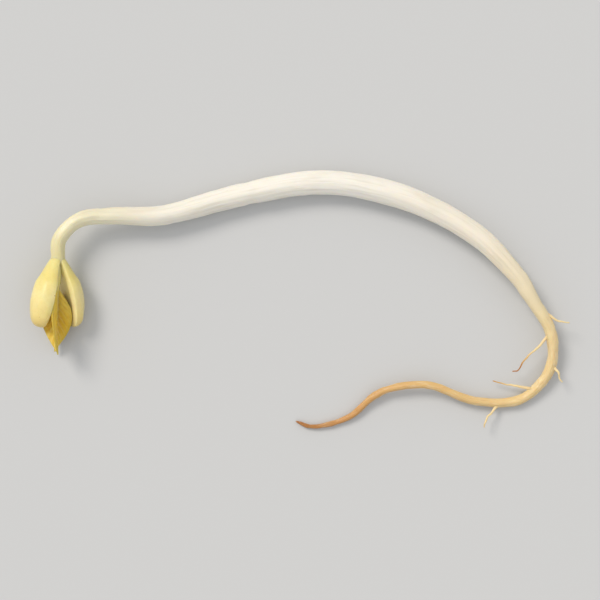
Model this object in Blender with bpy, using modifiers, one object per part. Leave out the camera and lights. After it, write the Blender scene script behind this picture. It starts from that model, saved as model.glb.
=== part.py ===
"""A single mung bean sprout, as picked, lying on a flat surface.

One long white hypocotyl carries two halves of the bean, its cotyledons, at one end, and the tapering
primary root with a few short side roots at the other. A short epicotyl between the cotyledons bears the
first pair of yellow leaves. Lengths are in millimetres up to the point where Blender gets them, in metres.
+Z is up, the surface is z = 0, and the origin is under the middle of the whole sprout.
"""

import math

import bmesh
import bpy
from mathutils import Euler, Matrix, Vector

MM = 0.001
ATTACHMENT_GAP = 0.12  # left between grown-together pieces, so that each is a solid of its own

# The hypocotyl's line from the cotyledons to the root collar, as x, y, lift of its underside, radius.
HYPOCOTYL_KNOTS = (
    (-33.7, 5.4, 2.8, 0.95),
    (-33.4, 8.6, 2.9, 1.00),
    (-30.5, 11.3, 2.5, 1.08),
    (-25.7, 11.8, 1.7, 1.20),
    (-18.7, 12.0, 0.8, 1.38),
    (-9.1, 14.6, 0.05, 1.56),
    (2.9, 16.6, 0.05, 1.70),
    (14.4, 14.6, 0.15, 1.74),
    (24.3, 9.6, 0.8, 1.58),
    (30.3, 3.8, 1.6, 1.32),
    (32.5, 0.5, 1.9, 1.08),
)
# The primary root's line from the collar to its tip, in the same terms.
ROOT_KNOTS = (
    (32.7, 0.2, 2.0, 0.94),
    (35.5, -4.8, 1.6, 0.80),
    (35.3, -10.2, 0.6, 0.72),
    (31.1, -14.2, 0.05, 0.66),
    (24.5, -14.2, 0.5, 0.60),
    (18.1, -12.0, 1.1, 0.55),
    (11.7, -13.0, 0.6, 0.50),
    (7.1, -16.6, 0.05, 0.43),
    (2.3, -18.0, 0.02, 0.34),
    (-0.5, -17.2, 0.02, 0.20),
)
HYPOCOTYL_SIDES = 16
ROOT_SIDES = 12
SAMPLES_PER_SPAN = 4

# Side roots: distance along the root from the collar, turn round it from straight up, lean towards the
# root's tip from square to it, length.
SIDE_ROOTS = (
    (3.4, -66, 50, 2.9),
    (6.2, 78, 34, 6.4),
    (10.6, -58, 30, 2.4),
    (15.2, 74, 40, 5.2),
    (20.6, -72, 36, 3.6),
)
SIDE_ROOT_RADIUS = 0.19
SIDE_ROOT_TIP_RADIUS = 0.08
SIDE_ROOT_DROOP = 0.20  # share of its length that the tip hangs below straight
SIDE_ROOT_SIDES = 8
SIDE_ROOT_POINTS = 6

HEAD_TWIST = 58  # degrees that the pair of cotyledons is rolled about the stem's line
COTYLEDON_LENGTH = 8.8
COTYLEDON_WIDTH = 5.0
COTYLEDON_BACK = 2.1  # height of the rounded back over the rim
COTYLEDON_FACE = 0.35  # swell of the inner face below the rim
COTYLEDON_CURL = 1.1  # how far a whole length would turn in, past the point where the curl starts
COTYLEDON_CURL_START = 0.35  # share of the length
COTYLEDON_BLUNTNESS = 0.14  # 0 is an ellipse, more is fuller towards both ends
COTYLEDON_NECK = 0.55  # share of the full section where it is attached
COTYLEDON_NECK_END = 0.45  # share of the length where the section is full
COTYLEDON_START = 0.5  # on from the stem's end
COTYLEDON_GAPE = 15  # degrees from the stem's line to each cotyledon
COTYLEDON_SIDE = 0.62  # from the stem's line to each cotyledon's rim

EPICOTYL_START = 0.3
EPICOTYL_LENGTH = 2.7
EPICOTYL_RADIUS = 0.5

LEAF_LENGTH = 9.6
LEAF_WIDTH = 4.2
LEAF_THICKNESS = 0.24
LEAF_FOLD = 34  # degrees that each half of the blade is raised from flat
LEAF_CURL = 0.9  # how far the tip turns down
LEAF_START = 3.4  # on from the stem's end
LEAF_SIDE = 0.3  # from the stem's line to each leaf's stalk
LEAF_TURNS = ((0, -6, 9), (180, 6, -12))  # of the upper and the lower leaf, in degrees
LEAF_BASE_SHARE = 0.16  # of the blade's width, where it narrows to its stalk
LEAF_TIP_SHARE = 0.05  # of the blade's width, at its point


def clear_scene():
    for obj in list(bpy.data.objects):
        bpy.data.objects.remove(obj, do_unlink=True)


def new_collection(name):
    collection = bpy.data.collections.new(name)
    bpy.context.scene.collection.children.link(collection)
    return collection


def tissue(name, colour, roughness):
    """A plant tissue's material: fresh, damp and never metallic."""
    material = bpy.data.materials.new(name)
    material.use_nodes = True
    shader = material.node_tree.nodes["Principled BSDF"]
    shader.inputs["Base Color"].default_value = (*colour, 1.0)
    shader.inputs["Roughness"].default_value = roughness
    shader.inputs["Metallic"].default_value = 0.0
    return material


def centre_knots(knots):
    """The knots as x, y, height of the centre, radius."""
    return [Vector((x, y, lift + radius, radius)) for x, y, lift, radius in knots]


def smooth_line(knots, samples):
    """Points on a Catmull-Rom curve through four-number knots, with so many samples to each span."""
    ends = [2 * knots[0] - knots[1], *knots, 2 * knots[-1] - knots[-2]]
    points = []
    for before, start, end, after in zip(ends, ends[1:], ends[2:], ends[3:]):
        for step in range(samples):
            t = step / samples
            points.append(
                0.5 * (2 * start + (end - before) * t)
                + 0.5 * (2 * before - 5 * start + 4 * end - after) * t**2
                + 0.5 * (3 * start - before - 3 * end + after) * t**3
            )
    return [*points, knots[-1]]


def tube(name, points, sides, material, collection):
    """A solid of round section along four-number points, the fourth being the radius."""
    curve = bpy.data.curves.new(name, "CURVE")
    curve.dimensions = "3D"
    curve.bevel_depth = MM
    curve.bevel_resolution = sides // 2 - 2
    curve.use_fill_caps = True
    spline = curve.splines.new("POLY")
    spline.points.add(len(points) - 1)
    for spline_point, point in zip(spline.points, points):
        spline_point.co = (*(point.xyz * MM), 1.0)
        spline_point.radius = point.w
    curve.materials.append(material)
    obj = bpy.data.objects.new(name, curve)
    collection.objects.link(obj)
    return obj


def mesh_object(name, shape, material, collection):
    mesh = bpy.data.meshes.new(name)
    shape.to_mesh(mesh)
    shape.free()
    mesh.materials.append(material)
    mesh.shade_smooth()
    obj = bpy.data.objects.new(name, mesh)
    collection.objects.link(obj)
    return obj


def point_at(points, distance):
    """The place and the direction at a distance along a sampled line."""
    travelled = 0.0
    for start, end in zip(points, points[1:]):
        step = (end.xyz - start.xyz).length
        if travelled + step >= distance:
            share = (distance - travelled) / step
            return start.lerp(end, share), (end.xyz - start.xyz).normalized()
        travelled += step
    return points[-1], (points[-1].xyz - points[-2].xyz).normalized()


def side_root(name, root, distance, turn, lean, length, material, collection):
    """A short rootlet that grows out of the primary root and droops a little."""
    centre, along = point_at(root, distance)
    out = Matrix.Rotation(math.radians(turn), 3, along) @ Vector((0, 0, 1))
    out = (out - out.dot(along) * along).normalized()
    heading = out * math.cos(math.radians(lean)) + along * math.sin(math.radians(lean))
    start = centre.xyz + out * (centre.w + ATTACHMENT_GAP)
    points = []
    for step in range(SIDE_ROOT_POINTS):
        share = step / (SIDE_ROOT_POINTS - 1)
        drop = Vector((0, 0, -SIDE_ROOT_DROOP * length * share**2))
        radius = SIDE_ROOT_RADIUS + (SIDE_ROOT_TIP_RADIUS - SIDE_ROOT_RADIUS) * share
        points.append(Vector((*(start + heading * length * share + drop), radius)))
    return tube(name, points, SIDE_ROOT_SIDES, material, collection)


def smooth_step(value):
    value = min(1.0, max(0.0, value))
    return value * value * (3 - 2 * value)


def cotyledon_shape():
    """Half a bean: rounded back, nearly flat face, blunt tip, narrow where it is attached."""
    shape = bmesh.new()
    bmesh.ops.create_uvsphere(shape, u_segments=20, v_segments=14, radius=1.0)
    bmesh.ops.rotate(shape, matrix=Matrix.Rotation(math.pi / 2, 3, "Y"), verts=shape.verts)
    for vertex in shape.verts:
        along, across, through = vertex.co
        share = (along + 1) / 2
        blunt = max(1e-6, 1 - along * along) ** -COTYLEDON_BLUNTNESS
        narrow = COTYLEDON_NECK + (1 - COTYLEDON_NECK) * smooth_step(share / COTYLEDON_NECK_END)
        thickness = COTYLEDON_BACK if through > 0 else COTYLEDON_FACE
        curl = COTYLEDON_CURL * max(0.0, share - COTYLEDON_CURL_START) ** 2
        vertex.co = Vector((
            COTYLEDON_LENGTH * share,
            COTYLEDON_WIDTH / 2 * across * blunt * narrow,
            thickness * through * blunt * narrow - curl,
        )) * MM
    return shape


def leaf_shape():
    """One leaf blade, half open along its midrib, narrow at its stalk and pointed at its tip."""
    shape = bmesh.new()
    bmesh.ops.create_grid(shape, x_segments=12, y_segments=6, size=1.0)
    for vertex in shape.verts:
        share = (vertex.co.x + 1) / 2
        across = vertex.co.y
        outline = math.sin(math.pi * share**0.78) ** 0.85 if 0 < share < 1 else 0.0
        narrowest = LEAF_BASE_SHARE if share < 0.5 else LEAF_TIP_SHARE
        half_width = LEAF_WIDTH / 2 * max(narrowest, outline)
        fold = math.radians(LEAF_FOLD)
        vertex.co = Vector((
            LEAF_LENGTH * share,
            half_width * across * math.cos(fold),
            half_width * abs(across) * math.sin(fold) - LEAF_CURL * share * share,
        )) * MM
    return shape


def in_head(obj, head, place, turn):
    """Sets a piece in the head's own frame: x runs on from the stem, z is square to the bean's split."""
    obj.parent = head
    obj.location = Vector(place) * MM
    obj.rotation_euler = Euler([math.radians(angle) for angle in turn], "XYZ")


def make_head(stem, collection):
    """An empty on the stem's end: its x runs on from the stem and its z is rolled from upright."""
    along = (stem[0].xyz - stem[1].xyz).normalized()
    side = Vector((0, 0, 1)).cross(along).normalized()
    upright = along.cross(side)
    axes = Matrix((along, side, upright)).transposed()
    head = bpy.data.objects.new("head", None)
    collection.objects.link(head)
    roll = Matrix.Rotation(math.radians(HEAD_TWIST), 3, "X")
    head.matrix_world = Matrix.Translation(stem[0].xyz * MM) @ (axes @ roll).to_4x4()
    return head


def build():
    clear_scene()
    collection = new_collection("mung_bean_sprout")
    stem_tissue = tissue("hypocotyl_tissue", (0.86, 0.80, 0.72), 0.32)
    root_tissue = tissue("root_tissue", (0.72, 0.58, 0.38), 0.48)
    cotyledon_tissue = tissue("cotyledon_tissue", (0.74, 0.62, 0.30), 0.46)
    leaf_tissue = tissue("leaf_tissue", (0.66, 0.50, 0.10), 0.42)

    stem = smooth_line(centre_knots(HYPOCOTYL_KNOTS), SAMPLES_PER_SPAN)
    root = smooth_line(centre_knots(ROOT_KNOTS), SAMPLES_PER_SPAN)
    tube("hypocotyl", stem, HYPOCOTYL_SIDES, stem_tissue, collection)
    tube("primary_root", root, ROOT_SIDES, root_tissue, collection)
    for number, settings in enumerate(SIDE_ROOTS, 1):
        side_root(f"side_root_{number}", root, *settings, root_tissue, collection)

    head = make_head(stem, collection)
    for name, side in (("cotyledon_upper", 1), ("cotyledon_lower", -1)):
        half = mesh_object(name, cotyledon_shape(), cotyledon_tissue, collection)
        flip = 0 if side > 0 else 180
        place = (COTYLEDON_START, 0, side * COTYLEDON_SIDE)
        in_head(half, head, place, (flip, -side * COTYLEDON_GAPE, 0))

    start = Vector((EPICOTYL_START, 0, 0, EPICOTYL_RADIUS))
    end = start + Vector((EPICOTYL_LENGTH, 0, 0, 0))
    epicotyl = tube("epicotyl", [start, start.lerp(end, 0.5), end], ROOT_SIDES, stem_tissue, collection)
    epicotyl.parent = head
    for name, side, turn in zip(("leaf_upper", "leaf_lower"), (1, -1), LEAF_TURNS):
        leaf = mesh_object(name, leaf_shape(), leaf_tissue, collection)
        thickness = leaf.modifiers.new("thickness", "SOLIDIFY")
        thickness.thickness = LEAF_THICKNESS * MM
        thickness.offset = 0.0
        in_head(leaf, head, (LEAF_START, 0, side * LEAF_SIDE), turn)


build()
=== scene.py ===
"""The looks of a single mung bean sprout, lying as picked on a pale surface.

Each piece is grown round its solid in the frame: the line and thickness of the stem, the root and the side
roots, and the place, lean and size of the bean halves and leaves, are all read from the frame. Lengths are
metres unless a name ends in _mm.
"""

import math

import bmesh
import bpy
from bpy.props import FloatProperty, FloatVectorProperty, IntProperty, PointerProperty
from bpy.types import Operator, Panel, PropertyGroup
from mathutils import Matrix, Vector, noise


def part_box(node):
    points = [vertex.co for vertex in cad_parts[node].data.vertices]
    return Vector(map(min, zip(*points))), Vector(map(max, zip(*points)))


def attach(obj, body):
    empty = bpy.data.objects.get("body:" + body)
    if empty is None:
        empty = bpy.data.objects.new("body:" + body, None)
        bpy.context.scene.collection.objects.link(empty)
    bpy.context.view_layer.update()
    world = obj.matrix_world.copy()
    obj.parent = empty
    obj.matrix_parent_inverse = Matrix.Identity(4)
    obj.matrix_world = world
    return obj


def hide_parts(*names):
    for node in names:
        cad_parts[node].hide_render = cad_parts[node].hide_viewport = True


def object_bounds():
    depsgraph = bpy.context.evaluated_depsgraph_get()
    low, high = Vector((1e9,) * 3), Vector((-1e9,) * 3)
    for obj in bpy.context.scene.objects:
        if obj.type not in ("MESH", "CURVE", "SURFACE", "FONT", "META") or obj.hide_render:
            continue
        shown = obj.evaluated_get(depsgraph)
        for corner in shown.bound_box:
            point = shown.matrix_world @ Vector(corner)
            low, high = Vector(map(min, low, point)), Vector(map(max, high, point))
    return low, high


bl_info = {
    "name": "Mung Bean Sprout",
    "version": (1, 0, 0),
    "blender": (4, 5, 0),
    "location": "3D View > Sidebar > Sprout",
    "description": "Grows one mung bean sprout around its solids",
    "category": "Add Mesh",
}

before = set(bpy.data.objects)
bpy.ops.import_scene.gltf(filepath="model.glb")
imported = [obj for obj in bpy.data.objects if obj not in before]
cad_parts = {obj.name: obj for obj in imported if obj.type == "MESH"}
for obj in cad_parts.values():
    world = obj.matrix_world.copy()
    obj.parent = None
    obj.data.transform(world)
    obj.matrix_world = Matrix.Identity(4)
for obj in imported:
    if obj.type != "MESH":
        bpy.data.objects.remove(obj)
CAD_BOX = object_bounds()

MM = 0.001
WELD = 0.002 * MM  # joins the loose triangles of a solid
FLAT = math.radians(0.6)  # two faces turned less than this from each other lie in one plane
SHARP = math.radians(55)  # edges bent more than this are shaded as edges
NODE_REACH = 0.75 * MM  # how far the stem's tissue runs on past its solid, among the bean halves
BUD_DEPTH = 0.93  # of the root's radius, where a bud's middle sits
STALK_SHARE = 0.07  # of a leaf's length, before its blade widens
BEAN_BLUNTNESS = 0.18  # 0 is an ellipse, more is fuller towards both ends
BEAN_NECK = 0.7  # share of the full section where a half is attached
BEAN_NECK_END = 0.32  # share of the length where the section is full
BEAN_JOIN_END = 0.2  # share of the length that is drawn towards the stem
TINT_SHARE = 0.35  # strength of the tints in the panel
COLLAR_FADE_MM = 7.0  # stretch over which the patterns fade out towards the collar
MAIN_SWEEP = {"Sides": 48, "Step": 0.2 * MM, "End Rounding": 0.9 * MM}  # of both stem and root
EDGE_LIFT = 34  # degrees that a leaf's edge is turned up from its midrib
RIB_STEPS = 24
FLOOR_RADIUS = 60.0
FLOOR_GAP = 0.02 * MM  # under the sprout
LENS_MM = 100.0
SENSOR_MM = 36.0
MARGIN = 1.08  # width of the view over the sprout's
SUN_DIRECTION = (-0.55, 0.6, 0.78)
SUN_SOFTNESS = 22  # degrees
SUN_POWER = 1.75
TENT_STRENGTH = 0.86


# Colours


def linear(colour):
    """The linear RGBA of an sRGB hex colour such as "F2EEE6"."""
    channels = [int(colour[at : at + 2], 16) / 255 for at in (0, 2, 4)]
    return (*[c / 12.92 if c <= 0.04045 else ((c + 0.055) / 1.055) ** 2.4 for c in channels], 1.0)


# Reading the frame


def welded(node):
    """A CAD node's mesh as one closed bmesh."""
    shape = bmesh.new()
    shape.from_mesh(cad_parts[node].data)
    bmesh.ops.remove_doubles(shape, verts=shape.verts, dist=WELD)
    shape.normal_update()
    return shape


def middle(points):
    return sum(points, Vector()) / len(points)


def flat_groups(shape):
    """The faces of a mesh in groups that lie in one plane."""
    groups, seen = [], set()
    for start in shape.faces:
        if start in seen:
            continue
        group, waiting = {start}, [start]
        while waiting:
            face = waiting.pop()
            for edge in face.edges:
                for other in edge.link_faces:
                    if other not in group and face.normal.angle(other.normal, math.pi) < FLAT:
                        group.add(other)
                        waiting.append(other)
        seen |= group
        groups.append(group)
    return groups


def round_caps(shape):
    """The vertices of each round end of a tube."""
    caps = []
    for group in flat_groups(shape):
        ring = {vertex for face in group for vertex in face.verts}
        centre = middle([vertex.co for vertex in ring])
        reach = [(vertex.co - centre).length for vertex in ring]
        if len(group) > 4 and max(reach) < 1.05 * min(reach):
            caps.append(ring)
    return caps


def centre_line(node, start_near):
    """A tube node's line as (centre, radius) of each of its rings, from the end nearer to a point."""
    shape = welded(node)
    caps = round_caps(shape)
    if len(caps) != 2:
        raise RuntimeError(f"{node} has {len(caps)} round ends, and a tube has 2")
    ring = min(caps, key=lambda cap: (middle([v.co for v in cap]) - start_near).length)
    line, passed = [], set()
    while ring:
        centre = middle([vertex.co for vertex in ring])
        radius = sum((vertex.co - centre).length for vertex in ring) / len(ring)
        line.append((centre, radius))
        passed |= ring
        ring = {edge.other_vert(vertex) for vertex in ring for edge in vertex.link_edges} - passed
    shape.free()
    return line


def line_length(line):
    return sum((b[0] - a[0]).length for a, b in zip(line, line[1:]))


def own_axes(node, root):
    """Where a bean half or a leaf sits, from its solid.

    Returns a matrix that puts x from its attached end, the one nearest to root, to its tip, and z towards
    the side that it bulges or opens to, and its length, width and height along those axes.
    """
    shape = welded(node)
    points = [vertex.co.copy() for vertex in shape.verts]
    shape.free()
    base = min(points, key=lambda point: (point - root).length)
    tip = max(points, key=lambda point: (point - base).length)
    along = (tip - base).normalized()
    bulge = middle(points) - (base + tip) / 2
    up = (bulge - bulge.dot(along) * along).normalized()
    across = up.cross(along)
    axes = Matrix((along, across, up)).transposed()
    inside = [axes.transposed() @ (point - base) for point in points]
    sizes = [max(p[i] for p in inside) - min(p[i] for p in inside) for i in range(3)]
    return Matrix.Translation(base) @ axes.to_4x4(), Vector(sizes)


def head_point():
    low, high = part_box("epicotyl")
    return (Vector(low) + Vector(high)) / 2


def stem_and_root():
    """The line of the hypocotyl and the primary root as one, and the distance along it to the collar.

    It starts a little past the hypocotyl's solid, so that the bean halves and the shoot grow out of it.
    """
    stem = centre_line("hypocotyl", head_point())
    root = centre_line("primary_root", stem[-1][0])
    end, radius = stem[0]
    outward = (end - stem[1][0]).normalized()
    swollen_end = [(end + outward * NODE_REACH, 0.82 * radius), (end, 1.06 * radius)]
    collar = ((stem[-1][0] + root[0][0]) / 2, (stem[-1][1] + root[0][1]) / 2)
    upper = [*swollen_end, *stem[1:-1], collar]
    return [*upper, *root[1:]], line_length(upper)


def node_of_bean():
    """The point inside the stem's end where the bean halves and the shoot start."""
    line = stem_and_root()[0]
    inward = (line[1][0] - line[0][0]).normalized()
    return line[0][0] + inward * 2 * NODE_REACH


# Building meshes


def add_node(tree, kind, inputs=None, stops=(), **settings):
    """Adds a node with its settings and inputs. stops are a colour ramp's places and hex colours.

    An input is a value, a socket, a node, whose first output is taken, or a sum such as ("ADD", 1.0, node).
    """
    node = tree.nodes.new(kind)
    for name, value in settings.items():
        setattr(node, name, value)
    for _ in stops[2:]:
        node.color_ramp.elements.new(0.5)
    for number, (place, colour) in enumerate(stops):
        node.color_ramp.elements[number].position = place
        node.color_ramp.elements[number].color = linear(colour)
    for key, value in (inputs or {}).items():
        if isinstance(value, tuple) and isinstance(value[0], str):
            value = add_node(tree, "ShaderNodeMath", dict(enumerate(value[1:])), operation=value[0])
        if isinstance(value, bpy.types.Node):
            value = value.outputs[0]
        if isinstance(value, bpy.types.NodeSocket):
            tree.links.new(value, node.inputs[key])
        else:
            node.inputs[key].default_value = value
    return node


def link_object(name, data):
    obj = bpy.data.objects.new(name, data)
    bpy.context.scene.collection.objects.link(obj)
    return obj


def line_object(name, lines):
    """A curve object with one spline for each list of (centre, radius)."""
    curve = bpy.data.curves.new(name, "CURVE")
    curve.dimensions = "3D"
    for line in lines:
        spline = curve.splines.new("POLY")
        spline.points.add(len(line) - 1)
        for point, (centre, radius) in zip(spline.points, line):
            point.co = (*centre, 1.0)
            point.radius = radius
    return link_object(name, curve)


def new_tree(name, sockets):
    """A Geometry Nodes tree that takes a geometry and the named inputs, with its input node."""
    tree = bpy.data.node_groups.new(name, "GeometryNodeTree")
    tree.interface.new_socket("Geometry", in_out="INPUT", socket_type="NodeSocketGeometry")
    tree.interface.new_socket("Geometry", in_out="OUTPUT", socket_type="NodeSocketGeometry")
    for title, (kind, default) in sockets.items():
        socket = tree.interface.new_socket(title, in_out="INPUT", socket_type=f"NodeSocket{kind}")
        if default is not None:
            socket.default_value = default
    return tree, add_node(tree, "NodeGroupInput")


def end_tree(tree, shape, material):
    """The end of every tree: the shape is smoothed, made real, painted and given out."""
    soft = add_node(tree, "GeometryNodeSetShadeSmooth", {"Geometry": shape})
    real = add_node(tree, "GeometryNodeRealizeInstances", {"Geometry": soft})
    painted = add_node(tree, "GeometryNodeSetMaterial", {"Geometry": real, "Material": material})
    add_node(tree, "NodeGroupOutput", {"Geometry": painted})


def grown_tree():
    """A rounded, slightly ridged and swollen body of tissue round each curve.

    It stores "grain" on the surface, for the materials: the cosine and sine of the turn round the line, and
    the distance along it in millimetres.
    """
    tree, given = new_tree("Grown Round A Line", {
        "Sides": ("Int", 32),
        "Step": ("Float", 0.25 * MM),
        "End Rounding": ("Float", 0.9 * MM),
        "Keep From": ("Float", -1.0),
        "Keep To": ("Float", 1.0),
        "Ridges": ("Int", 5),
        "Ridge Depth": ("Float", 0.0),
        "Twist": ("Float", 0.0),
        "Swell": ("Float", 0.0),
        "Swell Size": ("Float", 4 * MM),
        "Dents": ("Float", 0.0),
        "Dent Size": ("Float", 1.2 * MM),
        "Wander": ("Float", 0.0),
        "Seed": ("Int", 1),
        "Material": ("Material", None),
    })
    g = given.outputs

    smooth = add_node(tree, "GeometryNodeCurveSplineType", {
        "Curve": g["Geometry"],
    }, spline_type="CATMULL_ROM")
    finer = add_node(tree, "GeometryNodeSetSplineResolution", {"Geometry": smooth, "Resolution": 10})
    rings = add_node(tree, "GeometryNodeResampleCurve", {"Curve": finer, "Length": g["Step"]}, mode="LENGTH")

    # The line strays a little from straight, and more the farther it is from where it starts.
    place = add_node(tree, "GeometryNodeSplineParameter")
    spot = add_node(tree, "GeometryNodeInputPosition")
    stray = add_node(tree, "ShaderNodeTexNoise", {
        "Vector": spot, "W": g["Seed"], "Scale": 420.0, "Detail": 1.0,
    }, noise_dimensions="4D")
    stray_way = add_node(tree, "ShaderNodeVectorMath", {
        0: stray.outputs["Color"], 1: (0.5, 0.5, 0.5),
    }, operation="SUBTRACT")
    stray_far = ("MULTIPLY", g["Wander"], place.outputs["Factor"])
    stray_by = add_node(tree, "ShaderNodeVectorMath", {0: stray_way, "Scale": stray_far}, operation="SCALE")
    strayed = add_node(tree, "GeometryNodeSetPosition", {"Geometry": rings, "Offset": stray_by})

    # Both ends are domed: the radius follows a quarter of a circle over the last stretch.
    whole = add_node(tree, "GeometryNodeSplineLength")
    to_end = ("SUBTRACT", whole.outputs["Length"], place.outputs["Length"])
    nearest_end = ("MINIMUM", place.outputs["Length"], to_end)
    share = add_node(tree, "ShaderNodeClamp", {0: ("DIVIDE", nearest_end, g["End Rounding"])})
    short = ("SUBTRACT", 1.0, share)
    dome = add_node(tree, "ShaderNodeMath", {
        0: ("SUBTRACT", 1.0, ("MULTIPLY", short, short)),
    }, operation="SQRT")
    radius = add_node(tree, "GeometryNodeInputRadius")
    along = add_node(tree, "GeometryNodeCaptureAttribute", {"Geometry": strayed}, domain="POINT")
    along.capture_items.new("FLOAT", "Along")
    tree.links.new(place.outputs["Length"], along.inputs["Along"])
    along.capture_items.new("FLOAT", "Dome")
    tree.links.new(dome.outputs[0], along.inputs["Dome"])

    circle = add_node(tree, "GeometryNodeCurvePrimitiveCircle", {"Resolution": g["Sides"], "Radius": 1.0})
    around = add_node(tree, "GeometryNodeCaptureAttribute", {"Geometry": circle}, domain="POINT")
    around.capture_items.new("FLOAT", "Around")
    tree.links.new(place.outputs["Factor"], around.inputs["Around"])
    skin = add_node(tree, "GeometryNodeCurveToMesh", {
        "Curve": along.outputs["Geometry"], "Profile Curve": around.outputs["Geometry"],
        "Scale": ("MULTIPLY", radius, dome), "Fill Caps": True,
    })

    turn = ("MULTIPLY", around.outputs["Around"], 2 * math.pi)
    distance = along.outputs["Along"]
    grain = add_node(tree, "ShaderNodeCombineXYZ", {
        0: ("COSINE", turn), 1: ("SINE", turn), 2: ("DIVIDE", distance, MM),
    })
    marked = add_node(tree, "GeometryNodeStoreNamedAttribute", {
        "Geometry": skin, "Name": "grain", "Value": grain,
    }, data_type="FLOAT_VECTOR", domain="POINT")

    # Ridges run lengthwise and swellings come and go, but both fade out where the piece meets the next.
    from_cut = ("MINIMUM", ("SUBTRACT", distance, g["Keep From"]), ("SUBTRACT", g["Keep To"], distance))
    from_cut = ("MINIMUM", ("ABSOLUTE", from_cut), distance)
    fade = add_node(tree, "ShaderNodeMapRange", {
        "Value": from_cut, "From Max": 2.5 * MM,
    }, interpolation_type="SMOOTHSTEP")
    winding = ("MULTIPLY", distance, g["Twist"])
    ridge = ("COSINE", ("MULTIPLY_ADD", turn, g["Ridges"], winding))
    swell_scale = ("DIVIDE", 1.0, g["Swell Size"])
    lumps = add_node(tree, "ShaderNodeTexNoise", {
        "Vector": spot, "W": g["Seed"], "Scale": swell_scale, "Detail": 2.0, "Roughness": 0.45,
    }, noise_dimensions="4D")
    swell = ("MULTIPLY", ("SUBTRACT", lumps.outputs["Fac"], 0.5), g["Swell"])
    pits = add_node(tree, "ShaderNodeTexNoise", {
        "Vector": spot, "W": g["Seed"], "Scale": ("DIVIDE", 1.0, g["Dent Size"]),
        "Detail": 1.0,
    }, noise_dimensions="4D")
    pressed = ("MINIMUM", ("SUBTRACT", pits.outputs["Fac"], 0.46), 0.0)
    swell = ("MULTIPLY_ADD", pressed, g["Dents"], swell)
    shown = ("MULTIPLY", fade, along.outputs["Dome"])
    height = ("MULTIPLY", ("MULTIPLY_ADD", ridge, g["Ridge Depth"], swell), shown)
    facing = add_node(tree, "GeometryNodeInputNormal")
    lift = add_node(tree, "ShaderNodeVectorMath", {0: facing, "Scale": height}, operation="SCALE")
    shaped = add_node(tree, "GeometryNodeSetPosition", {"Geometry": marked, "Offset": lift})

    on_faces = add_node(tree, "GeometryNodeFieldOnDomain", {0: distance}, domain="FACE", data_type="FLOAT")
    before, after = ("LESS_THAN", on_faces, g["Keep From"]), ("GREATER_THAN", on_faces, g["Keep To"])
    kept = add_node(tree, "GeometryNodeDeleteGeometry", {
        "Geometry": shaped, "Selection": ("MAXIMUM", before, after),
    }, domain="FACE")
    closed = add_node(tree, "GeometryNodeMergeByDistance", {"Geometry": kept, "Distance": 0.003 * MM})
    end_tree(tree, closed, g["Material"])
    return tree


def bud_tree():
    """Small domes, the beginnings of side roots, set in four rows along a root."""
    tree, given = new_tree("Root Buds", {
        "Count": ("Int", 18),
        "Bud Radius": ("Float", 0.2 * MM),
        "Rows": ("Int", 4),
        "Seed": ("Int", 3),
        "Material": ("Material", None),
    })
    g = given.outputs
    smooth = add_node(tree, "GeometryNodeCurveSplineType", {
        "Curve": g["Geometry"],
    }, spline_type="CATMULL_ROM")
    trimmed = add_node(tree, "GeometryNodeTrimCurve", {"Curve": smooth, 2: 0.04, 3: 0.8})
    points = add_node(tree, "GeometryNodeCurveToPoints", {
        "Curve": trimmed, "Count": g["Count"],
    }, mode="COUNT")
    radius = add_node(tree, "GeometryNodeInputRadius")
    row = add_node(tree, "FunctionNodeRandomValue", {
        4: 0, 5: g["Rows"], "Seed": g["Seed"],
    }, data_type="INT")
    turn = ("MULTIPLY", ("DIVIDE", row.outputs[2], g["Rows"]), 2 * math.pi)
    turned = add_node(tree, "FunctionNodeRotateRotation", {
        "Rotation": points.outputs["Rotation"],
        "Rotate By": add_node(tree, "FunctionNodeAxisAngleToRotation", {
            "Axis": (0.0, 0.0, 1.0), "Angle": turn,
        }),
    }, rotation_space="LOCAL")
    ball = add_node(tree, "GeometryNodeMeshUVSphere", {"Segments": 12, "Rings": 8, "Radius": g["Bud Radius"]})
    long_ball = add_node(tree, "GeometryNodeTransform", {"Geometry": ball, "Scale": (0.8, 0.9, 1.5)})
    size = add_node(tree, "FunctionNodeRandomValue", {2: 0.55, 3: 1.2, "Seed": g["Seed"]}, data_type="FLOAT")
    buds = add_node(tree, "GeometryNodeInstanceOnPoints", {
        "Points": points.outputs["Points"], "Instance": long_ball,
        "Rotation": turned, "Scale": size.outputs[1],
    })
    outward = add_node(tree, "ShaderNodeCombineXYZ", {0: ("MULTIPLY", radius, BUD_DEPTH)})
    moved = add_node(tree, "GeometryNodeTranslateInstances", {
        "Instances": buds, "Translation": outward, "Local Space": True,
    })
    end_tree(tree, moved, g["Material"])
    return tree


def tree_named(name, make):
    return bpy.data.node_groups.get(name) or make()


def grow(name, lines, tree, inputs):
    """The mesh that a tree makes of some lines, as a plain object. Its cut ends are closed."""
    guide = line_object(f"{name}_guide", lines)
    modifier = guide.modifiers.new("growth", "NODES")
    modifier.node_group = tree
    sockets = {item.name: item.identifier for item in tree.interface.items_tree if item.in_out == "INPUT"}
    for title, value in inputs.items():
        modifier[sockets[title]] = value
    seen = guide.evaluated_get(bpy.context.evaluated_depsgraph_get())
    mesh = bpy.data.meshes.new_from_object(seen, preserve_all_data_layers=True)
    mesh.name = name
    bpy.data.objects.remove(guide, do_unlink=True)
    close_cuts(mesh)
    mesh.shade_smooth()
    mesh.set_sharp_from_angle(angle=SHARP)
    return link_object(name, mesh)


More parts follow.
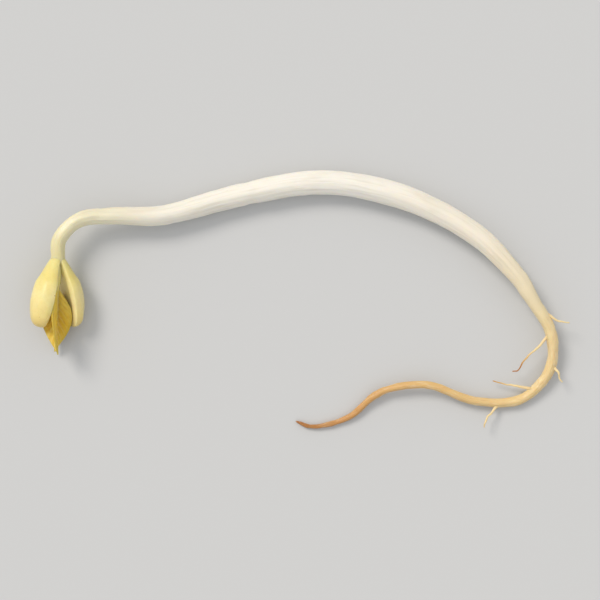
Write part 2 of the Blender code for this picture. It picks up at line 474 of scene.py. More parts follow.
def close_cuts(mesh):
    shape = bmesh.new()
    shape.from_mesh(mesh)
    open_edges = [edge for edge in shape.edges if edge.is_boundary]
    if open_edges:
        bmesh.ops.holes_fill(shape, edges=open_edges, sides=0)
    loose = [vertex for vertex in shape.verts if not vertex.link_faces]
    bmesh.ops.delete(shape, geom=loose, context="VERTS")
    bmesh.ops.recalc_face_normals(shape, faces=shape.faces)
    shape.to_mesh(mesh)
    shape.free()


def finish_piece(piece, slot, *nodes):
    """Hands a finished piece to the frame: it rides on the only body and stands for its solids."""
    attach(piece, "root")
    if nodes:
        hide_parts(*nodes)


# Materials


def new_material(name):
    material = bpy.data.materials.new(name)
    material.use_nodes = True
    material.node_tree.nodes.clear()
    return material, material.node_tree


def laid_over(tree, under, over, strength, *patterns, blend="MIX"):
    """One colour laid over another, as strongly as the strength times every pattern."""
    for pattern in patterns:
        strength = ("MULTIPLY", pattern, strength)
    over = linear(over) if isinstance(over, str) else over
    colours = {0: strength, 6: under, 7: over}
    return add_node(tree, "ShaderNodeMix", colours, data_type="RGBA", blend_type=blend).outputs[2]


def spots(tree, where, scale, low, high, seed, detail=2.0):
    """Soft-edged patches, 0 outside and 1 inside, from a low to a high level of noise."""
    cloud = add_node(tree, "ShaderNodeTexNoise", {
        "Vector": where, "W": seed, "Scale": scale, "Detail": detail, "Roughness": 0.55,
    }, noise_dimensions="4D")
    return add_node(tree, "ShaderNodeMapRange", {
        "Value": cloud.outputs["Fac"], "From Min": low, "From Max": high,
    }, interpolation_type="SMOOTHSTEP")


def millimetres_along(tree):
    """How far a point is along the line that its piece is grown round."""
    grain = add_node(tree, "ShaderNodeAttribute", attribute_name="grain")
    return add_node(tree, "ShaderNodeSeparateXYZ", {0: grain.outputs["Vector"]}).outputs[2]


def away_from_collar(tree, sizes):
    """0 at the root collar and 1 a few millimetres off it, so that stem and root patterns meet evenly."""
    off = ("ABSOLUTE", ("SUBTRACT", millimetres_along(tree), sizes.stem_length_mm))
    return add_node(tree, "ShaderNodeMapRange", {
        "Value": off, "From Max": COLLAR_FADE_MM,
    }, interpolation_type="SMOOTHSTEP")


def flesh(tree, colour, roughness, bumps, subsurface, depth_mm, coat):
    """Damp plant flesh: light goes in and scatters, and a thin film of water shines on the skin."""
    normal = None
    for height, distance, strength in bumps:
        inputs = {"Height": height, "Distance": distance, "Strength": strength}
        if normal:
            inputs["Normal"] = normal
        normal = add_node(tree, "ShaderNodeBump", inputs).outputs[0]
    shader = add_node(tree, "ShaderNodeBsdfPrincipled", {
        "Base Color": colour,
        "Roughness": roughness,
        "Normal": normal,
        "IOR": 1.38,
        "Subsurface Weight": subsurface,
        "Subsurface Radius": (1.0, 0.75, 0.45),
        "Subsurface Scale": depth_mm * MM,
        "Coat Weight": coat,
        "Coat Roughness": 0.16,
        "Coat IOR": 1.33,
    })
    add_node(tree, "ShaderNodeOutputMaterial", {"Surface": shader})


def grain_of(tree, around, along):
    """The "grain" attribute, its turn and its millimetres scaled apart, so that patterns can be drawn out."""
    grain = add_node(tree, "ShaderNodeAttribute", attribute_name="grain")
    return add_node(tree, "ShaderNodeVectorMath", {
        0: grain.outputs["Vector"], 1: (around, around, along),
    }, operation="MULTIPLY")


def distance_along(tree, full_mm):
    """0 at the line's start and 1 at full_mm."""
    return add_node(tree, "ShaderNodeMapRange", {"Value": millimetres_along(tree), "From Max": full_mm})


def stem_flesh(sizes, colours):
    """Mung bean hypocotyl, grown in the dark: watery white flesh under a waxy skin.

    It gives a pale, slightly see-through stem with faint lengthwise strands, a yellow cast at the bean end,
    a cream one at the root end, a few bruises, and a damp shine.
    """
    material, tree = new_material("blanched_stem_flesh")
    place = distance_along(tree, sizes.stem_length_mm)
    colour = add_node(tree, "ShaderNodeValToRGB", {0: place}, stops=(
        (0.0, "D6CC94"), (0.07, "E0DAB8"), (0.25, "E6E3DA"),
        (0.6, "E9E7E2"), (0.86, "E6E0D3"), (1.0, "DFD1B0"),
    ))
    tinted = laid_over(tree, colour, colours.stem_tint, TINT_SHARE, blend="MULTIPLY")
    shown = away_from_collar(tree, sizes)
    strands = spots(tree, grain_of(tree, 5.0, 0.16), 1.0, 0.48, 0.72, 2.0, 3.0)
    tinted = laid_over(tree, tinted, "C8C2B0", 0.4, strands, shown)
    patches = spots(tree, grain_of(tree, 0.9, 0.16), 1.0, 0.5, 0.75, 7.0)
    tinted = laid_over(tree, tinted, "D2C8B3", 0.42, patches, shown)
    bruises = spots(tree, grain_of(tree, 2.2, 0.7), 1.0, 0.69, 0.76, 11.0, 4.0)
    tinted = laid_over(tree, tinted, "BFA27A", 0.5, bruises, shown)
    cells = add_node(tree, "ShaderNodeTexNoise", {
        "Vector": grain_of(tree, 16.0, 1.1), "Scale": 1.0, "Detail": 3.0,
    })
    ribs = add_node(tree, "ShaderNodeTexNoise", {
        "Vector": grain_of(tree, 3.4, 0.1), "Scale": 1.0, "Detail": 1.0,
    })
    flesh(tree, tinted, 0.34, (
        (ribs.outputs["Fac"], 0.16 * MM, 0.7), (cells.outputs["Fac"], 0.03 * MM, 0.55),
    ), ("MULTIPLY", shown, 0.5), 0.8, 0.18)
    return material


def root_flesh(sizes, colours):
    """Mung bean root: thin cream flesh that browns in air from the tip up.

    It gives a duller, warmer surface than the stem's, streaked lengthwise, tan in its second half and brown
    at the tip.
    """
    material, tree = new_material("root_flesh")
    start = sizes.stem_length_mm
    place = add_node(tree, "ShaderNodeMapRange", {
        "Value": millimetres_along(tree), "From Min": start, "From Max": start + sizes.root_length_mm,
    })
    colour = add_node(tree, "ShaderNodeValToRGB", {0: place}, stops=(
        (0.0, "DFD1B0"), (0.08, "E0CFA6"), (0.35, "DCC595"),
        (0.62, "D2B27C"), (0.86, "BF915A"), (1.0, "9C6836"),
    ))
    shown = away_from_collar(tree, sizes)
    tinted = laid_over(tree, colour, colours.stem_tint, TINT_SHARE, blend="MULTIPLY")
    tinted = laid_over(tree, tinted, colours.root_tint, TINT_SHARE, shown, blend="MULTIPLY")
    streaks = spots(tree, grain_of(tree, 3.0, 0.3), 1.0, 0.52, 0.74, 5.0, 4.0)
    tinted = laid_over(tree, tinted, "A98250", 0.42, streaks, shown)
    fading = spots(tree, grain_of(tree, 1.6, 0.5), 1.0, 0.5, 0.7, 9.0)
    tinted = laid_over(tree, tinted, "EFE3C4", 0.3, fading, shown)
    wrinkles = add_node(tree, "ShaderNodeTexNoise", {
        "Vector": grain_of(tree, 4.0, 1.3), "Scale": 1.0, "Detail": 4.0,
    })
    height = ("MULTIPLY", wrinkles.outputs["Fac"], shown)
    dull = add_node(tree, "ShaderNodeMapRange", {"Value": shown, "To Min": 0.34, "To Max": 0.48})
    flesh(tree, tinted, dull, ((height, 0.09 * MM, 0.7),), ("MULTIPLY", shown, 0.5), 0.8, 0.18)
    return material


def young_root_flesh(colours):
    """A side root a day or two old: the root's cream flesh, palest just past its base and tan at its tip."""
    material, tree = new_material("young_root_flesh")
    colour = add_node(tree, "ShaderNodeValToRGB", {0: distance_along(tree, 6.0)}, stops=(
        (0.0, "D9BE8C"), (0.12, "E6D3A8"), (0.5, "E4CFA0"), (0.85, "C9A066"), (1.0, "A87440"),
    ))
    tinted = laid_over(tree, colour, colours.root_tint, TINT_SHARE, blend="MULTIPLY")
    wrinkles = add_node(tree, "ShaderNodeTexNoise", {
        "Vector": grain_of(tree, 2.0, 2.0), "Detail": 3.0, "Scale": 1.0,
    })
    flesh(tree, tinted, 0.45, ((wrinkles.outputs["Fac"], 0.04 * MM, 0.6),), 0.3, 0.4, 0.1)
    return material


def bean_flesh(colours):
    """Half of a sprouted mung bean, its skin washed off: firm, starchy pale yellow flesh.

    It gives a smooth, softly shining body, deeper yellow towards its attachment, finely dimpled, with a faint
    network of veins and a few tan specks.
    """
    material, tree = new_material("sprouted_bean_flesh")
    share = add_node(tree, "ShaderNodeAttribute", attribute_name="share")
    inner = add_node(tree, "ShaderNodeAttribute", attribute_name="inner")
    spot = add_node(tree, "ShaderNodeTexCoord").outputs["Object"]
    colour = add_node(tree, "ShaderNodeValToRGB", {0: share.outputs["Fac"]}, stops=(
        (0.0, "DFD89A"), (0.18, "E2D588"), (0.5, "EADFA6"), (0.82, "E6D592"), (1.0, "D9C27A"),
    ))
    tinted = laid_over(tree, colour, "F0E7B8", 0.5, inner.outputs["Fac"])
    tinted = laid_over(tree, tinted, colours.bean_tint, TINT_SHARE, blend="MULTIPLY")
    patches = spots(tree, spot, 380.0, 0.45, 0.7, 4.0, 3.0)
    tinted = laid_over(tree, tinted, "D8C06E", 0.4, patches)
    green = spots(tree, spot, 240.0, 0.52, 0.72, 8.0)
    tinted = laid_over(tree, tinted, "C3C27A", 0.3, green)
    specks = spots(tree, spot, 1500.0, 0.69, 0.74, 15.0, 2.0)
    tinted = laid_over(tree, tinted, "9A7440", 0.7, specks)
    net = add_node(tree, "ShaderNodeTexVoronoi", {
        "Vector": spot, "Scale": 1100.0,
    }, feature="DISTANCE_TO_EDGE")
    thread = add_node(tree, "ShaderNodeMapRange", {
        "Value": net.outputs["Distance"], "From Max": 0.09, "To Min": 1.0, "To Max": 0.0,
    }, interpolation_type="SMOOTHSTEP")
    tinted = laid_over(tree, tinted, "C9AE5C", 0.08, thread)
    dimples = add_node(tree, "ShaderNodeTexNoise", {"Vector": spot, "Scale": 2600.0, "Detail": 2.0})
    waves = add_node(tree, "ShaderNodeTexNoise", {"Vector": spot, "Scale": 700.0, "Detail": 2.0})
    flesh(tree, tinted, 0.4, (
        (waves.outputs["Fac"], 0.12 * MM, 0.6), (dimples.outputs["Fac"], 0.03 * MM, 0.5),
    ), 0.4, 0.7, 0.18)
    return material


def leaf_skin(colours):
    """The first leaf of a sprout kept in the dark: thin and golden yellow, not yet green.

    It gives a crisp blade with a soft sheen, mottled in fine cells, paler along its veins, and greenish at
    its tip and edge.
    """
    material, tree = new_material("dark_grown_leaf")
    share = add_node(tree, "ShaderNodeAttribute", attribute_name="share")
    across = add_node(tree, "ShaderNodeAttribute", attribute_name="across")
    spot = add_node(tree, "ShaderNodeTexCoord").outputs["Object"]
    colour = add_node(tree, "ShaderNodeValToRGB", {0: share.outputs["Fac"]}, stops=(
        (0.0, "E4DFA0"), (0.14, "E6D26A"), (0.55, "E0C040"), (0.85, "D0B945"), (1.0, "BDAF50"),
    ))
    tinted = laid_over(tree, colour, colours.leaf_tint, TINT_SHARE, blend="MULTIPLY")
    cells = spots(tree, spot, 1700.0, 0.42, 0.66, 6.0, 3.0)
    tinted = laid_over(tree, tinted, "CE9F2C", 0.3, cells)
    veins = add_node(tree, "ShaderNodeAttribute", attribute_name="vein")
    tinted = laid_over(tree, tinted, "EADB8C", 0.55, veins.outputs["Fac"])
    edge = add_node(tree, "ShaderNodeValToRGB", {0: across.outputs["Fac"]}, stops=(
        (0.0, "000000"), (0.78, "000000"), (1.0, "FFFFFF"),
    ))
    tinted = laid_over(tree, tinted, "A89A3C", 0.45, edge)
    pebbles = add_node(tree, "ShaderNodeTexNoise", {"Vector": spot, "Scale": 3400.0, "Detail": 2.0})
    flesh(tree, tinted, 0.42, ((pebbles.outputs["Fac"], 0.03 * MM, 0.5),), 0.3, 0.5, 0.1)
    return material


def shoot_flesh(colours):
    """The short stem between the bean halves: young, pale yellow-green and smooth, from crowded new cells."""
    material, tree = new_material("shoot_flesh")
    colour = add_node(tree, "ShaderNodeValToRGB", {0: distance_along(tree, 4.5)}, stops=(
        (0.0, "EBE6C2"), (0.5, "E4DFA6"), (1.0, "DDD27E"),
    ))
    tinted = laid_over(tree, colour, colours.stem_tint, TINT_SHARE, blend="MULTIPLY")
    cells = add_node(tree, "ShaderNodeTexNoise", {
        "Vector": grain_of(tree, 3.0, 0.6), "Scale": 1.0, "Detail": 2.0,
    })
    flesh(tree, tinted, 0.36, ((cells.outputs["Fac"], 0.03 * MM, 0.5),), 0.5, 0.6, 0.18)
    return material


def vein_flesh(colours):
    """The ribs of the leaf: the same flesh as its blade, thicker, paler and smoother."""
    material, tree = new_material("leaf_vein_flesh")
    place = distance_along(tree, 9.0)
    colour = add_node(tree, "ShaderNodeValToRGB", {0: place}, stops=(
        (0.0, "E9DFA2"), (0.6, "E0CB68"), (1.0, "CDB348"),
    ))
    tinted = laid_over(tree, colour, colours.leaf_tint, TINT_SHARE, blend="MULTIPLY")
    strands = add_node(tree, "ShaderNodeTexNoise", {
        "Vector": grain_of(tree, 3.0, 1.0), "Scale": 1.0, "Detail": 2.0,
    })
    flesh(tree, tinted, 0.4, ((strands.outputs["Fac"], 0.02 * MM, 0.5),), 0.3, 0.5, 0.12)
    return material


def plain_card(colour):
    """Matt seamless paper backdrop: rolled, uncoated, so it takes soft shadows and no shine."""
    material, tree = new_material("matt_backdrop_paper")
    spot = add_node(tree, "ShaderNodeTexCoord").outputs["Object"]
    fibres = add_node(tree, "ShaderNodeTexNoise", {"Vector": spot, "Scale": 900.0, "Detail": 3.0})
    bump = add_node(tree, "ShaderNodeBump", {
        "Height": fibres.outputs["Fac"], "Distance": 0.02 * MM, "Strength": 0.2,
    })
    shader = add_node(tree, "ShaderNodeBsdfPrincipled", {
        "Base Color": linear(colour), "Roughness": 0.9, "Specular IOR Level": 0.2, "Normal": bump,
    })
    add_node(tree, "ShaderNodeOutputMaterial", {"Surface": shader})
    return material


# Shapes


def smooth_step(value):
    value = min(1.0, max(0.0, value))
    return value * value * (3 - 2 * value)


def store(mesh, name, values):
    mesh.attributes.new(name, "FLOAT", "POINT").data.foreach_set("value", values)


def bean_half(name, node, root, sizes, seed, material):
    """Half a bean, thick at the middle of its rounded back, with a shallow hollow in its face."""
    place, size = own_axes(node, root)
    length, width, back = size
    joint = place.inverted() @ node_of_bean()
    shape = bmesh.new()
    bmesh.ops.create_uvsphere(shape, u_segments=96, v_segments=72, radius=1.0)
    bmesh.ops.rotate(shape, matrix=Matrix.Rotation(math.pi / 2, 3, "Y"), verts=shape.verts)
    shares, inners = [], []
    for vertex in shape.verts:
        along, across, through = vertex.co
        share = (along + 1) / 2
        blunt = max(1e-6, 1 - along * along) ** -BEAN_BLUNTNESS
        narrow = BEAN_NECK + (1 - BEAN_NECK) * smooth_step(share / BEAN_NECK_END)
        ring = max(1e-6, math.hypot(across, through))
        side, depth = across / ring, through / ring
        squared = 0.95 if through > 0 else 0.45
        lean = 0.05 * width * math.sin(math.pi * share)
        hollow = sizes.bean_hollow * math.exp(-((along - 0.15) / 0.5) ** 2 - (across / 0.42) ** 2)
        hollow *= smooth_step(-2.5 * through)
        rise = 0.84 * back if through > 0 else 0.2 * back
        y = width / 2 * math.copysign(abs(side) ** squared, side) * ring * blunt * narrow * 0.98 + lean
        z = rise * depth * ring * blunt * narrow + hollow
        z += 0.06 * back * math.sin(math.pi * share)
        x = length * share
        here = Vector((x, y, z))
        rough = noise.noise(here / (2.6 * MM) + Vector((seed, 0, 0))) * 0.10 * MM
        crease_at = Vector((x / (5.5 * MM), y / (0.8 * MM), z / (0.8 * MM) + seed))
        crease = noise.noise(crease_at) * sizes.bean_wrinkle * smooth_step(abs(through) * 2)
        outward = Vector((0.0, across, through)).normalized() if across or through else Vector((0, 0, 0))
        vertex.co = here + outward * (rough + crease) * smooth_step(4 * share) * smooth_step(4 * (1 - share))
        vertex.co += joint * (1 - smooth_step(share / BEAN_JOIN_END))
        shares.append(share)
        inners.append(smooth_step(-3 * through + 0.2))
    shape.normal_update()
    mesh = bpy.data.meshes.new(name)
    shape.to_mesh(mesh)
    shape.free()
    store(mesh, "share", shares)
    store(mesh, "inner", inners)
    mesh.transform(place)
    mesh.materials.append(material)
    mesh.shade_smooth()
    return link_object(name, mesh)


class Blade:
    """The surface of one leaf, in its solid's own axes: x to the tip, z to the side that it opens to."""

    def __init__(self, node, root, sizes, seed):
        self.place, size = own_axes(node, root)
        self.length = size.x
        self.half_width = sizes.leaf_width / 2
        self.sizes = sizes
        self.seed = seed
        self.joint = self.place.inverted() @ root

    def outline(self, share):
        """Half the blade's spread width: broad below its middle, drawn out to a point."""
        if not 0 < share < 1:
            return (0.10 if share <= 0 else 0.05) * self.half_width
        spread = max(0.0, (share - STALK_SHARE) / (1 - STALK_SHARE))
        bulge = math.sin(math.pi * spread**0.8) ** 1.1 if spread else 0.0
        return self.half_width * max(0.10 if share < 0.4 else 0.05, bulge)

    def vein_phase(self, share, across):
        """Whole numbers of this lie on the side veins, which run forwards as they go out."""
        return (share - 0.2 * abs(across) ** 1.2) * self.sizes.leaf_veins

    def point(self, share, across):
        """across is 0 on the midrib and 1 or -1 on the edges."""
        flat, steep = math.radians(self.sizes.leaf_fold), math.radians(self.sizes.leaf_fold + EDGE_LIFT)
        reach = abs(across)
        angle = flat + (steep - flat) * reach
        width = self.outline(share)
        y = width * (math.sin(angle) - math.sin(flat)) / (steep - flat)
        z = width * (math.cos(flat) - math.cos(angle)) / (steep - flat)
        quilt = 0.5 - 0.5 * math.cos(2 * math.pi * self.vein_phase(share, across))
        fade = smooth_step(5 * reach) * smooth_step(6 * (1 - share)) * smooth_step(6 * share)
        fade *= 1 - 0.75 * smooth_step((reach - 0.55) / 0.4)
        z -= self.sizes.leaf_quilt * quilt * fade
        z += 0.10 * MM * reach**2 * math.sin(2 * math.pi * (2.6 * share + 0.3 * self.seed)) * fade
        arch = 4 * share * (1 - share)
        z += 0.18 * MM * arch
        stalk = self.joint * (1 - smooth_step(share / 0.2))
        return Vector((self.length * share, math.copysign(y, across), z)) + stalk

    def vein(self, share, across):
        """How much of a vein is here: 1 on the midrib and the side veins."""
        phase = self.vein_phase(share, across)
        off_side = abs(phase - round(phase))
        side = math.exp(-((off_side / 0.09) ** 2)) * (1 - 0.6 * abs(across))
        middle_rib = math.exp(-((across / 0.07) ** 2))
        return max(side, middle_rib)

    def ribs(self):
        """The lines of the midrib and the side veins, on the outer side of the fold."""
        drop = Vector((0, 0, -0.05 * MM))
        count = self.sizes.leaf_veins
        steps = [step / RIB_STEPS for step in range(RIB_STEPS + 1)]
        lines = [[(self.point(0.97 * s, 0.0) + drop, (0.33 - 0.27 * s**0.5) * MM) for s in steps]]
        for number in range(1, count - 1):
            for side in (-1, 1):
                line = []
                for s in steps:
                    across = side * (0.02 + 0.86 * s)
                    share = number / count + 0.2 * abs(across) ** 1.2
                    if share < 0.95:
                        line.append((self.point(share, across), (0.10 - 0.06 * s) * MM))
                if len(line) > 8:
                    lines.append(line)
        return [[(self.place @ centre, radius) for centre, radius in line] for line in lines]

    def mesh(self, name, along_count, across_count):
        shape = bmesh.new()
        bmesh.ops.create_grid(shape, x_segments=along_count, y_segments=across_count, size=1.0)
        shares, acrosses, veins = [], [], []
        for vertex in shape.verts:
            share, across = (vertex.co.x + 1) / 2, vertex.co.y
            vertex.co = self.point(share, across)
            shares.append(share)
            acrosses.append(abs(across))
            veins.append(self.vein(share, across))
        mesh = bpy.data.meshes.new(name)
        shape.to_mesh(mesh)
        shape.free()
        store(mesh, "share", shares)
        store(mesh, "across", acrosses)
        store(mesh, "vein", veins)
        mesh.transform(self.place)
        return mesh


# Settings


class SproutSizes(PropertyGroup):
    """Sizes that shape the surface. Lengths and places come from the frame."""

    ridge_depth: FloatProperty(
        name="Ridge Depth", description="Height of the stem's lengthwise ridges", default=0.035 * MM,
        unit="LENGTH", precision=6)
    ridge_count: IntProperty(name="Ridges", description="Lengthwise ridges round the stem", default=5, min=0)
    stem_swell: FloatProperty(
        name="Stem Swell", description="How much the stem thickens and thins", default=0.34 * MM,
        unit="LENGTH", precision=6)
    root_swell: FloatProperty(
        name="Root Swell", description="How much the root thickens and thins", default=0.30 * MM,
        unit="LENGTH", precision=6)
    bud_count: IntProperty(name="Root Buds", description="Side roots that have only begun", default=18, min=0)
    bean_hollow: FloatProperty(
        name="Bean Hollow", description="Depth of the hollow in each half's face", default=0.30 * MM,
        unit="LENGTH", precision=6)
    bean_wrinkle: FloatProperty(
        name="Bean Wrinkles", description="Height of the folds in the bean's back", default=0.10 * MM,
        unit="LENGTH", precision=6)
    leaf_width: FloatProperty(
        name="Leaf Width", description="Width of a leaf spread flat", default=4.6 * MM,
        unit="LENGTH", precision=6)
    leaf_thickness: FloatProperty(
        name="Leaf Thickness", description="Thickness of the blade", default=0.2 * MM,
        unit="LENGTH", precision=6)
    leaf_fold: FloatProperty(
        name="Leaf Fold", description="Angle of each half at the midrib, in degrees from flat", default=20.0)
    leaf_veins: IntProperty(name="Leaf Veins", description="Side veins on each half", default=9, min=3)
    leaf_quilt: FloatProperty(
        name="Leaf Quilting", description="How far the blade swells between veins", default=0.10 * MM,
        unit="LENGTH", precision=6)
    stem_length_mm: FloatProperty(
        name="Stem Length", description="From the bean to the root collar, in millimetres",
        default=stem_and_root()[1] / MM)
    root_length_mm: FloatProperty(
        name="Root Length", description="From the collar to the root's tip, in millimetres",
        default=(line_length(stem_and_root()[0]) - stem_and_root()[1]) / MM)


class SproutColours(PropertyGroup):
    """Tints laid over each tissue's own colours."""

    stem_tint: FloatVectorProperty(
        name="Stem Tint", description="Laid over the stem's white", subtype="COLOR", size=4,
        default=linear("FFFBF2"), min=0, max=1)
    root_tint: FloatVectorProperty(
        name="Root Tint", description="Laid over the root's cream and tan", subtype="COLOR", size=4,
        default=linear("FFF4DC"), min=0, max=1)
    bean_tint: FloatVectorProperty(
        name="Bean Tint", description="Laid over the bean's yellow", subtype="COLOR", size=4,
        default=linear("FFF6D8"), min=0, max=1)
    leaf_tint: FloatVectorProperty(
        name="Leaf Tint", description="Laid over the leaves' gold", subtype="COLOR", size=4,
        default=linear("FFEEB0"), min=0, max=1)


def settings():
    scene = bpy.context.scene
    return scene.sprout_sizes, scene.sprout_colours


# Pieces


class SPROUT_OT_hypocotyl(Operator):
    """Grow the long white stem, from the bean to the root collar"""

    bl_idname = "sprout.hypocotyl"
    bl_label = "Grow Stem"

    def execute(self, context):
        sizes, colours = settings()
        line, collar = stem_and_root()
        stem = grow("stem", [line], tree_named("Grown Round A Line", grown_tree), {
            **MAIN_SWEEP, "Keep To": collar,
            "Ridges": sizes.ridge_count, "Ridge Depth": sizes.ridge_depth, "Twist": 12.0,
            "Swell": sizes.stem_swell, "Swell Size": 6.5 * MM, "Dents": 0.4 * MM, "Dent Size": 2.4 * MM,
            "Seed": 4, "Material": stem_flesh(sizes, colours),
        })
        finish_piece(stem, "stem_tissue", "hypocotyl")
        return {"FINISHED"}


class SPROUT_OT_root(Operator):
    """Grow the primary root, from the collar to its brown tip, with its buds"""

    bl_idname = "sprout.root"
    bl_label = "Grow Root"

    def execute(self, context):
        sizes, colours = settings()
        line, collar = stem_and_root()
        material = root_flesh(sizes, colours)
        root = grow("root", [line], tree_named("Grown Round A Line", grown_tree), {
            **MAIN_SWEEP, "Keep From": collar,
            "Ridges": 4, "Ridge Depth": 0.02 * MM, "Twist": 60.0,
            "Swell": sizes.root_swell, "Swell Size": 2.2 * MM, "Dents": 0.3 * MM, "Dent Size": 0.9 * MM,
            "Seed": 9, "Material": material,
        })
        finish_piece(root, "root_tissue", "primary_root")
        lower = centre_line("primary_root", line[0][0])
        buds = grow("root_buds", [lower], tree_named("Root Buds", bud_tree), {
            "Count": sizes.bud_count, "Bud Radius": 0.2 * MM, "Seed": 6, "Material": material,
        })
        finish_piece(buds, "root_tissue")
        return {"FINISHED"}


class SPROUT_OT_side_roots(Operator):
    """Grow the short side roots out of the primary root"""

    bl_idname = "sprout.side_roots"
    bl_label = "Grow Side Roots"

    def execute(self, context):
        material = young_root_flesh(settings()[1])
        main_line = centre_line("primary_root", stem_and_root()[0][0][0])
        names = sorted(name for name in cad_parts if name.startswith("side_root_"))
        for number, name in enumerate(names):
            low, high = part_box(name)
            near = (Vector(low) + Vector(high)) / 2
            source = min(main_line, key=lambda ring: (ring[0] - near).length)[0]
            line = centre_line(name, source)
            buried = line[0][0] - (line[1][0] - line[0][0]).normalized() * 0.45 * MM
            line = [(buried, 1.5 * line[0][1]), (line[0][0], 1.15 * line[0][1]), *line[1:]]
            side = grow(f"rootlet_{number + 1}", [line], tree_named("Grown Round A Line", grown_tree), {
                "Sides": 20, "Step": 0.08 * MM, "End Rounding": 0.12 * MM,
                "Swell": 0.12 * MM, "Swell Size": 0.9 * MM, "Wander": 3.2 * MM, "Seed": number,
                "Material": material,
            })
            finish_piece(side, "root_tissue", name)
        return {"FINISHED"}


class SPROUT_OT_bean_halves(Operator):
    """Open the two halves of the bean at the stem's end"""

    bl_idname = "sprout.bean_halves"
    bl_label = "Open Bean Halves"

    def execute(self, context):
        sizes, colours = settings()
        material = bean_flesh(colours)
        stem_end = stem_and_root()[0][0][0]
        for seed, name in enumerate(("cotyledon_upper", "cotyledon_lower")):
            title = name.replace("cotyledon", "bean_half")
            half = bean_half(title, name, stem_end, sizes, 3.7 * seed, material)
            finish_piece(half, "cotyledon_tissue", name)
        return {"FINISHED"}


class SPROUT_OT_leaves(Operator):
    """Grow the short stem between the bean halves and unfold its two leaves"""

    bl_idname = "sprout.leaves"
    bl_label = "Unfold Leaves"

    def execute(self, context):
        sizes, colours = settings()
        stem_end = stem_and_root()[0][0][0]
        line = centre_line("epicotyl", stem_end)
        tip = line[-1][0] + (line[-1][0] - line[0][0]).normalized() * 0.5 * MM
        grown = [(node_of_bean(), 1.1 * line[0][1]), *line[:-1], (line[-1][0], 0.86 * line[-1][1]),
                 (tip, 0.5 * line[-1][1])]
        shoot = grow("shoot", [grown], tree_named("Grown Round A Line", grown_tree), {
            "Sides": 28, "Step": 0.1 * MM, "End Rounding": 0.4 * MM, "Ridge Depth": 0.01 * MM,
            "Swell": 0.1 * MM, "Swell Size": 1.5 * MM, "Seed": 2,
            "Material": shoot_flesh(colours),
        })
        finish_piece(shoot, "stem_tissue", "epicotyl")
        skin, ribs = leaf_skin(colours), vein_flesh(colours)
        for seed, node in enumerate(("leaf_upper", "leaf_lower")):
            blade = Blade(node, line[-1][0], sizes, seed)
            mesh = blade.mesh(f"{node}_blade", 120, 64)
            mesh.materials.append(skin)
            mesh.shade_smooth()
            leaf = link_object(mesh.name, mesh)
            wall = leaf.modifiers.new("thickness", "SOLIDIFY")
            wall.thickness = sizes.leaf_thickness
            wall.offset = 0.0
            finish_piece(leaf, "leaf_tissue", node)
            veins = grow(f"{node}_veins", blade.ribs(), tree_named("Grown Round A Line", grown_tree), {
                "Sides": 12, "Step": 0.12 * MM, "End Rounding": 0.1 * MM, "Material": ribs,
            })
            finish_piece(veins, "leaf_tissue")
        return {"FINISHED"}


def floor_mesh(reach):
    """A round sheet so wide that its edge lies at the horizon."""
    shape = bmesh.new()
    bmesh.ops.create_circle(shape, cap_ends=True, segments=64, radius=reach)
    mesh = bpy.data.meshes.new("floor")
    shape.to_mesh(mesh)
    shape.free()
    return mesh


def soft_sun(name, direction, softness, power, colour):
    """Even light over the whole floor from one direction, as soft as a source so many degrees wide."""
    light = bpy.data.lights.new(name, "SUN")
    light.energy = power
    light.angle = math.radians(softness)
    light.color = linear(colour)[:3]
    obj = link_object(name, light)
    obj.rotation_euler = (-Vector(direction)).to_track_quat("-Z", "Y").to_euler()


def studio_world(horizon, overhead, strength):
    """A plain tent of light: the floor's own tone at the horizon, brighter overhead."""
    world = bpy.data.worlds.new("studio_tent")
    world.use_nodes = True
    tree = world.node_tree
    tree.nodes.clear()
    way = add_node(tree, "ShaderNodeTexCoord").outputs["Generated"]
    height = add_node(tree, "ShaderNodeSeparateXYZ", {0: way}).outputs[2]
    tone = add_node(tree, "ShaderNodeValToRGB", {0: height}, stops=(
        (0.0, horizon), (0.18, horizon), (1.0, overhead),
    ))
    sky = add_node(tree, "ShaderNodeBackground", {"Color": tone, "Strength": strength})
    add_node(tree, "ShaderNodeOutputWorld", {"Surface": sky})
    return world


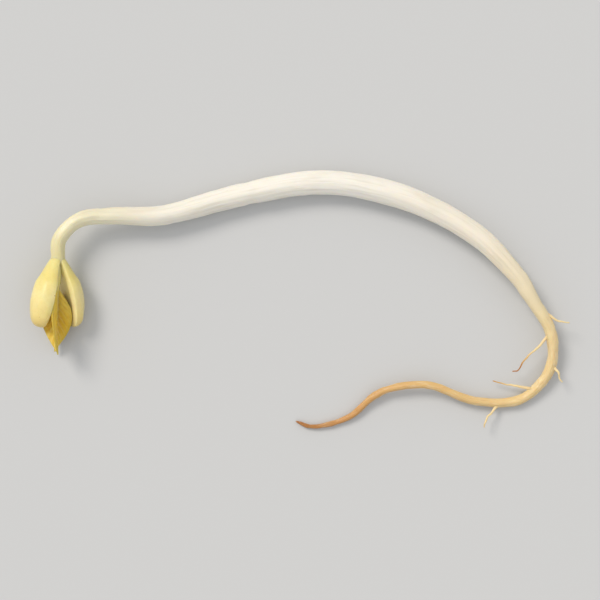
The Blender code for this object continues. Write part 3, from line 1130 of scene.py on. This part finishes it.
class SPROUT_OT_stage(Operator):
    """Lay the pale backdrop and set the lights and the camera"""

    bl_idname = "sprout.stage"
    bl_label = "Set Stage"

    def execute(self, context):
        scene = context.scene
        low, high = (Vector(corner) for corner in CAD_BOX)
        centre = (low + high) / 2
        span = (high - low).x
        floor = link_object("floor", floor_mesh(FLOOR_RADIUS))
        floor.location.z = low.z - FLOOR_GAP
        floor.data.materials.append(plain_card("C4C5C6"))

        scene.world = studio_world("E3E3E2", "FFFFFF", TENT_STRENGTH)
        soft_sun("key", SUN_DIRECTION, SUN_SOFTNESS, SUN_POWER, "FFF8EE")

        lens = bpy.data.cameras.new("camera")
        lens.lens = LENS_MM
        lens.sensor_width = SENSOR_MM
        lens.clip_start = 0.01
        lens.clip_end = 20.0
        camera = link_object("camera", lens)
        distance = MARGIN * span * LENS_MM / SENSOR_MM + high.z
        camera.location = centre + Vector((0, 0, distance))
        camera.rotation_euler = (0, 0, 0)
        scene.camera = camera
        scene.view_settings.view_transform = "Standard"
        return {"FINISHED"}


class SPROUT_PT_panel(Panel):
    """The sprout's pieces and settings"""

    bl_label = "Mung Bean Sprout"
    bl_idname = "SPROUT_PT_panel"
    bl_space_type = "VIEW_3D"
    bl_region_type = "UI"
    bl_category = "Sprout"

    def draw(self, context):
        layout = self.layout
        for operator in OPERATORS:
            layout.operator(operator.bl_idname)
        for group in (context.scene.sprout_sizes, context.scene.sprout_colours):
            box = layout.box()
            for name in group.__annotations__:
                box.prop(group, name)


OPERATORS = (
    SPROUT_OT_hypocotyl,
    SPROUT_OT_root,
    SPROUT_OT_side_roots,
    SPROUT_OT_bean_halves,
    SPROUT_OT_leaves,
    SPROUT_OT_stage,
)
CLASSES = (SproutSizes, SproutColours, *OPERATORS, SPROUT_PT_panel)


def register():
    for cls in CLASSES:
        bpy.utils.register_class(cls)
    bpy.types.Scene.sprout_sizes = PointerProperty(type=SproutSizes)
    bpy.types.Scene.sprout_colours = PointerProperty(type=SproutColours)


def unregister():
    del bpy.types.Scene.sprout_colours
    del bpy.types.Scene.sprout_sizes
    for cls in reversed(CLASSES):
        bpy.utils.unregister_class(cls)


def main():
    register()
    bpy.ops.sprout.hypocotyl()
    bpy.ops.sprout.root()
    bpy.ops.sprout.side_roots()
    bpy.ops.sprout.bean_halves()
    bpy.ops.sprout.leaves()
    bpy.ops.sprout.stage()


if __name__ == "__main__":
    main()
